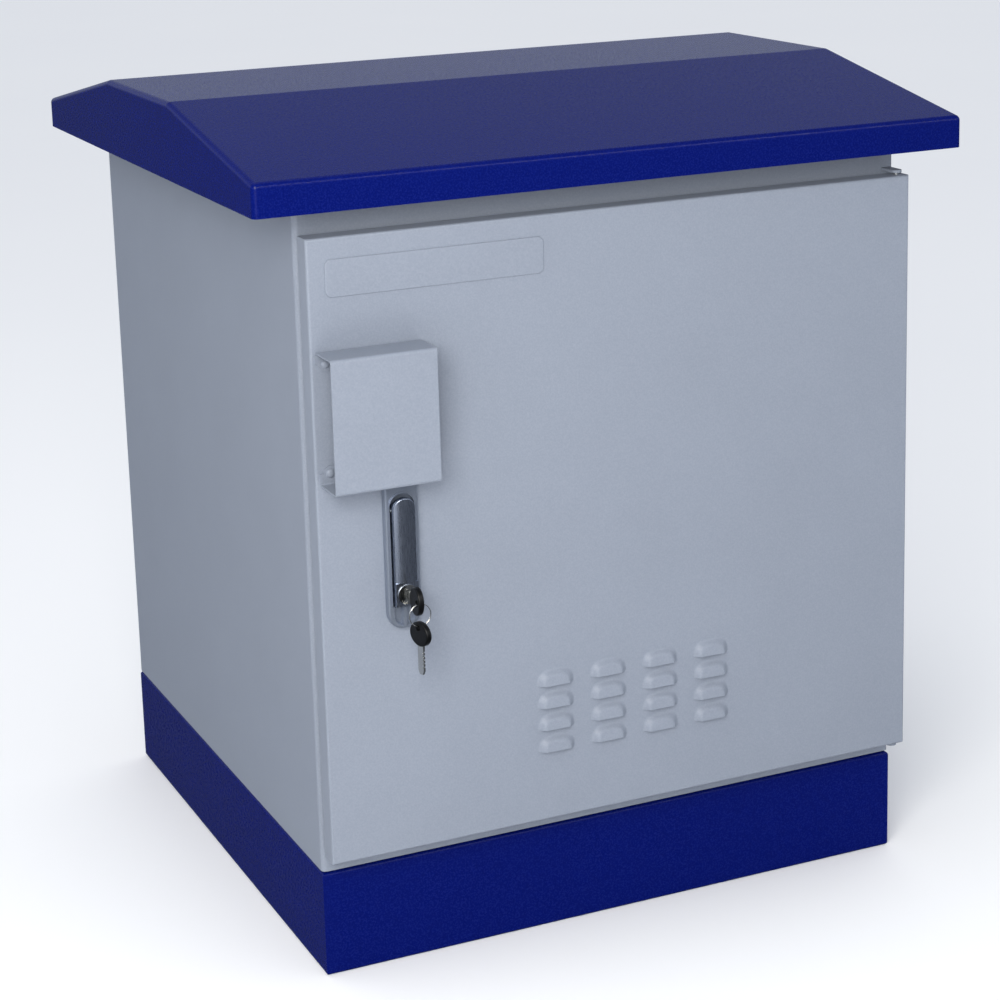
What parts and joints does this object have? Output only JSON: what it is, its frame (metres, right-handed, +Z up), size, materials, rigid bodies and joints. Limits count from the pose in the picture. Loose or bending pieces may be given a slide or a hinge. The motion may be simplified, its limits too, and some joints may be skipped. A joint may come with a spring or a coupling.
{
  "type": "outdoor rack cabinet",
  "caption": "Free-standing weatherproof cabinet of folded sheet steel on a plinth, with a pitched canopy, louvred door, swing-handle lock and 19-inch rails inside.",
  "frame": {"origin": "on the floor, at the centre of the plinth's anchor-bolt pattern", "axes": "+Z up, -Y out of the door side, +X to the right of someone facing the door"},
  "size_m": [0.696, 0.7017, 0.7805],
  "materials": {
    "grey_powder_coat": "fine-texture powder coat",
    "blue_powder_coat": "fine-texture powder coat",
    "zinc_plated_steel": "zinc plated",
    "polished_steel": "nickel plated",
    "satin_die_cast": "satin chrome on die-cast zinc",
    "black_rubber": "matt foam rubber",
    "black_plastic": "moulded",
    "filter_foam": "open-cell filter mat",
    "white_nylon": "turned nylon"
  },
  "bodies": {
    "cabinet": {"plinth_front": "blue_powder_coat", "plinth_rear": "blue_powder_coat", "plinth_left": "blue_powder_coat", "plinth_right": "blue_powder_coat", "roof_canopy": "blue_powder_coat", "side_panel_left": "grey_powder_coat", "side_panel_right": "grey_powder_coat", "front_header": "grey_powder_coat", "front_sill": "grey_powder_coat", "top_panel": "grey_powder_coat", "floor_panel": "grey_powder_coat", "back_panel": "grey_powder_coat", "roof_bracket_front": "grey_powder_coat", "roof_bracket_rear": "grey_powder_coat", "hinge_tab_upper": "grey_powder_coat", "hinge_tab_lower": "grey_powder_coat", "back_screws": "grey_powder_coat", "roof_bolts": "zinc_plated_steel", "roof_nuts": "zinc_plated_steel", "base_bolts": "zinc_plated_steel", "base_nuts": "zinc_plated_steel", "crossbar_left_low": "zinc_plated_steel", "crossbar_left_high": "zinc_plated_steel", "crossbar_right_low": "zinc_plated_steel", "crossbar_right_high": "zinc_plated_steel", "rail_front_left": "zinc_plated_steel", "rail_front_right": "zinc_plated_steel", "rail_rear_left": "zinc_plated_steel", "rail_rear_right": "zinc_plated_steel", "rail_bolts": "zinc_plated_steel", "earth_stud": "zinc_plated_steel", "earth_nut": "zinc_plated_steel", "hinge_pin_upper": "zinc_plated_steel", "hinge_pin_lower": "zinc_plated_steel", "cable_grommet_left": "black_rubber", "cable_grommet_right": "black_rubber", "hinge_washer": "white_nylon"},
    "door": {"door_panel": "grey_powder_coat", "lock_hood": "grey_powder_coat", "hood_rivets": "grey_powder_coat", "filter_frame": "grey_powder_coat", "door_gasket": "black_rubber", "filter_mat": "filter_foam", "hinge_block_upper": "zinc_plated_steel", "hinge_block_lower": "zinc_plated_steel", "lock_clamp": "zinc_plated_steel", "lock_nut": "zinc_plated_steel", "lock_tongue": "zinc_plated_steel", "tongue_bolt": "zinc_plated_steel", "handle_spindle": "zinc_plated_steel", "grip_pin": "zinc_plated_steel", "handle_escutcheon": "satin_die_cast"},
    "grip": {"handle_grip": "satin_die_cast", "lock_barrel": "polished_steel"},
    "plug": {"lock_plug": "polished_steel", "key_blade": "polished_steel", "key_bow": "black_plastic"},
    "ring": {"key_ring": "polished_steel"},
    "spare_key": {"spare_key_blade": "polished_steel", "spare_key_bow": "black_plastic"}
  },
  "joints": [
    {"name": "door_swing", "type": "hinge", "parent": "cabinet", "child": "door", "pos_m": [0.292, -0.307, 0.4025], "axis": [0, 0, 1], "range_deg": [0, 120]},
    {"name": "handle_lift", "type": "hinge", "parent": "door", "child": "grip", "pos_m": [-0.224, -0.325, 0.441], "axis": [-1, 0, 0], "range_deg": [0, 35]},
    {"name": "key_turn", "type": "hinge", "parent": "grip", "child": "plug", "pos_m": [-0.224, -0.332, 0.3648], "axis": [0, -1, 0], "range_deg": [0, 90]},
    {"name": "ring_swing", "type": "hinge", "parent": "plug", "child": "ring", "pos_m": [-0.224, -0.358, 0.3635], "axis": [1, 0, 0], "range_deg": [-20, 20]},
    {"name": "spare_key_swing", "type": "hinge", "parent": "ring", "child": "spare_key", "pos_m": [-0.224, -0.358, 0.3443], "axis": [1, 0, 0], "range_deg": [-20, 20]}
  ]
}
